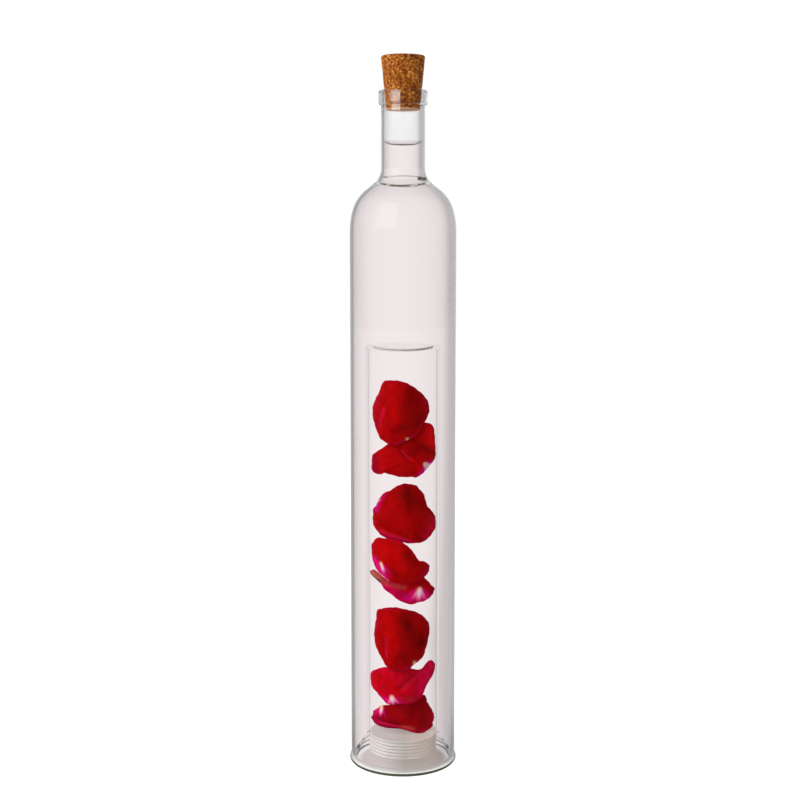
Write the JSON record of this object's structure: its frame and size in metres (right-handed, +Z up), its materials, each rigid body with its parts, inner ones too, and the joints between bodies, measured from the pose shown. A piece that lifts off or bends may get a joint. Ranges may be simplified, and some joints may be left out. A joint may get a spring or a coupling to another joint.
{
  "type": "gift bottle",
  "caption": "Slim double-walled glass bottle with a tapered cork; an inner tube, open at the foot and shut by a ribbed plug, shows rose petals inside clear liquid.",
  "frame": {"origin": "centre of the foot ring's flat, on the table plane and on the bottle's axis", "axes": "+Z up along the bottle's axis to the cork; -Y is the front, the side that the picture shows; +X to the right there"},
  "size_m": [0.0556, 0.0556, 0.3635],
  "materials": {
    "clear_glass": "polished",
    "foot_glass": "polished",
    "liquid": "gloss",
    "cork": "matte",
    "plug_polymer": "satin",
    "rose_petal": "matte"
  },
  "bodies": {
    "bottle": {"outer_body": "clear_glass", "weld_ring": "clear_glass", "neck_tube": "clear_glass", "lip_ring": "clear_glass", "inner_tube": "clear_glass", "foot_ring": "foot_glass", "liquid_fill": "liquid", "rose_petal_1": "rose_petal", "rose_petal_2": "rose_petal", "rose_petal_3": "rose_petal", "rose_petal_4": "rose_petal", "rose_petal_5": "rose_petal", "rose_petal_6": "rose_petal", "rose_petal_7": "rose_petal", "rose_petal_8": "rose_petal"},
    "cork": {"cork_stopper": "cork"},
    "plug": {"base_plug": "plug_polymer"}
  },
  "joints": [
    {"name": "cork_pull", "type": "slide", "parent": "bottle", "child": "cork", "axis": [0, 0, 1], "range_m": [0, 0.025]},
    {"name": "plug_pull", "type": "slide", "parent": "bottle", "child": "plug", "axis": [0, 0, -1], "range_m": [0, 0.0048]}
  ]
}
